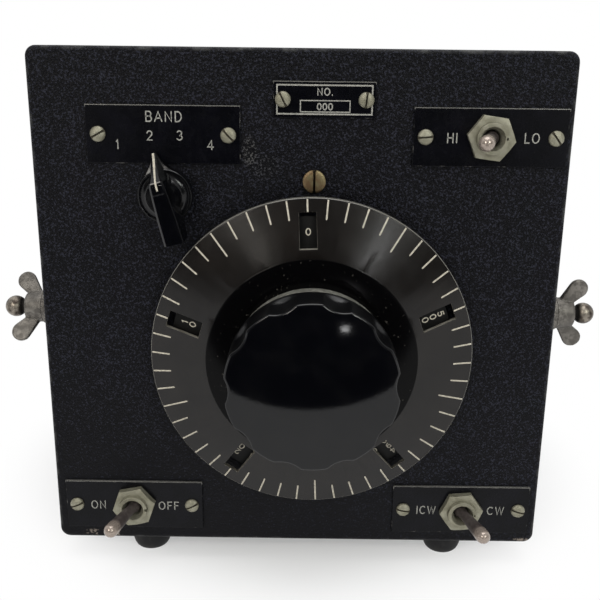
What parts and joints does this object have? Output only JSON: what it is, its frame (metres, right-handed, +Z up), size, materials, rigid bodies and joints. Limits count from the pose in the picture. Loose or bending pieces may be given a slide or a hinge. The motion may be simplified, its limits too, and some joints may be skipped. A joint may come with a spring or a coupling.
{
  "type": "radio transmitter",
  "caption": "Bench radio transmitter in a black wrinkle-finish case, with a micrometer tuning dial, band switch, toggle switches, side wing nuts and a tube chassis inside.",
  "frame": {"origin": "on the ground, at the centre of the whole set's bounding box in X and Y", "axes": "+X to the right as seen from the front, +Y to the back, +Z up; the front panel faces -Y"},
  "size_m": [0.1958, 0.2019, 0.1717],
  "materials": {
    "wrinkle_paint": "fine black wrinkle paint",
    "foot_rubber": "matte black",
    "hidden_steel": "plain",
    "plate_enamel": "satin black enamel with filled engraving",
    "screw_nickel": "worn nickel plate",
    "index_bronze": "worn brown",
    "dial_enamel": "semi-gloss black with filled graduations",
    "disc_enamel": "satin black with filled numbers",
    "gear_brass": "machined",
    "seat_alloy": "machined",
    "knob_phenolic": "moulded black, semi-gloss",
    "plate_alloy": "plain",
    "bar_ceramic": "unglazed",
    "laminate": "brown laminate",
    "black_moulding": "moulded black",
    "lever_nickel": "worn nickel plate",
    "wing_nickel": "dull worn nickel plate",
    "clear_glass": "clear",
    "electrode_nickel": "dark grey",
    "copper_wire": "enamelled copper",
    "core_enamel": "satin black",
    "waxed_paper": "waxed",
    "terminal_brass": "nickelled"
  },
  "bodies": {
    "cabinet": {"front_panel": "wrinkle_paint", "case_shell": "wrinkle_paint", "rubber_feet": "foot_rubber", "foot_screws": "hidden_steel", "band_spacers": "hidden_steel", "serial_plate": "plate_enamel", "band_plate": "plate_enamel", "level_plate": "plate_enamel", "mains_plate": "plate_enamel", "mode_plate": "plate_enamel", "plate_screws": "screw_nickel", "toggle_nuts": "screw_nickel", "toggle_bushings": "screw_nickel", "band_nut": "screw_nickel", "index_screw": "index_bronze", "panel_bushing": "gear_brass", "band_bushing": "gear_brass", "disc_seat": "seat_alloy", "gear_housing": "seat_alloy", "housing_cover": "seat_alloy", "stator_plates": "plate_alloy", "condenser_frame": "plate_alloy", "chassis": "plate_alloy", "stator_bars": "bar_ceramic", "band_wafers": "laminate", "terminal_strip": "laminate", "tube_sockets": "laminate", "coil_formers": "laminate", "toggle_bodies": "black_moulding", "tube_bases": "black_moulding", "mains_inlet": "black_moulding", "side_studs": "wing_nickel", "tube_glass": "clear_glass", "tube_electrodes": "electrode_nickel", "coil_windings": "copper_wire", "mains_transformer": "core_enamel", "audio_chokes": "core_enamel", "transformer_winding": "waxed_paper", "filter_condensers": "waxed_paper", "rear_terminals": "terminal_brass"},
    "dial": {"dial_shell": "dial_enamel", "hub_gear": "gear_brass", "tuning_knob": "knob_phenolic", "knob_set_screws": "hidden_steel", "dial_shaft": "hidden_steel", "worm": "hidden_steel"},
    "number_disc": {"number_disc": "disc_enamel"},
    "condenser_rotor": {"worm_wheel": "gear_brass", "rotor_shaft": "hidden_steel", "rotor_plates": "plate_alloy"},
    "band_pointer": {"band_knob": "knob_phenolic", "band_shaft": "hidden_steel", "band_rotors": "laminate"},
    "level_toggle": {"level_lever": "lever_nickel"},
    "mains_toggle": {"mains_lever": "lever_nickel"},
    "mode_toggle": {"mode_lever": "lever_nickel"},
    "left_clamp": {"left_washer": "wing_nickel"},
    "left_nut": {"left_wing_nut": "wing_nickel"},
    "right_clamp": {"right_washer": "wing_nickel"},
    "right_nut": {"right_wing_nut": "wing_nickel"}
  },
  "joints": [
    {"name": "dial_turn", "type": "hinge", "parent": "cabinet", "child": "dial", "pos_m": [0.0041, -0.067, 0.078], "axis": [0, 1, 0], "range_deg": [0, 3600]},
    {"name": "number_disc_turn", "type": "hinge", "parent": "cabinet", "child": "number_disc", "pos_m": [0.0041, -0.067, 0.07855], "axis": [0, 1, 0], "range_deg": [0, 3530]},
    {"name": "rotor_turn", "type": "hinge", "parent": "cabinet", "child": "condenser_rotor", "pos_m": [0.02, -0.03405, 0.09649], "axis": [1, 0, 0], "range_deg": [-180.5, 0]},
    {"name": "band_turn", "type": "hinge", "parent": "cabinet", "child": "band_pointer", "pos_m": [-0.0408, -0.067, 0.1285], "axis": [0, 1, 0], "range_deg": [-30, 60]},
    {"name": "level_flip", "type": "hinge", "parent": "cabinet", "child": "level_toggle", "pos_m": [0.0566, -0.06855, 0.1466], "axis": [0, 0, 1], "range_deg": [0, 32]},
    {"name": "mains_flip", "type": "hinge", "parent": "cabinet", "child": "mains_toggle", "pos_m": [-0.0552, -0.06855, 0.022], "axis": [0, 0, 1], "range_deg": [0, 32]},
    {"name": "mode_flip", "type": "hinge", "parent": "cabinet", "child": "mode_toggle", "pos_m": [0.0556, -0.06855, 0.0216], "axis": [0, 0, 1], "range_deg": [-32, 0]},
    {"name": "left_clamp_slide", "type": "slide", "parent": "cabinet", "child": "left_clamp", "axis": [-1, 0, 0], "range_m": [0, 0.0012]},
    {"name": "left_nut_turn", "type": "hinge", "parent": "left_clamp", "child": "left_nut", "pos_m": [-0.088, -0.05405, 0.088], "axis": [-1, 0, 0], "range_deg": [0, 540]},
    {"name": "right_clamp_slide", "type": "slide", "parent": "cabinet", "child": "right_clamp", "axis": [1, 0, 0], "range_m": [0, 0.0012]},
    {"name": "right_nut_turn", "type": "hinge", "parent": "right_clamp", "child": "right_nut", "pos_m": [0.088, -0.05405, 0.088], "axis": [1, 0, 0], "range_deg": [0, 540]}
  ],
  "couplings": [
    {"joint": "number_disc_turn", "follows": "dial_turn", "ratio": 0.98039},
    {"joint": "rotor_turn", "follows": "dial_turn", "ratio": -0.05},
    {"joint": "left_clamp_slide", "follows": "left_nut_turn", "m_per_rad": 0.00012633},
    {"joint": "right_clamp_slide", "follows": "right_nut_turn", "m_per_rad": 0.00012633}
  ]
}
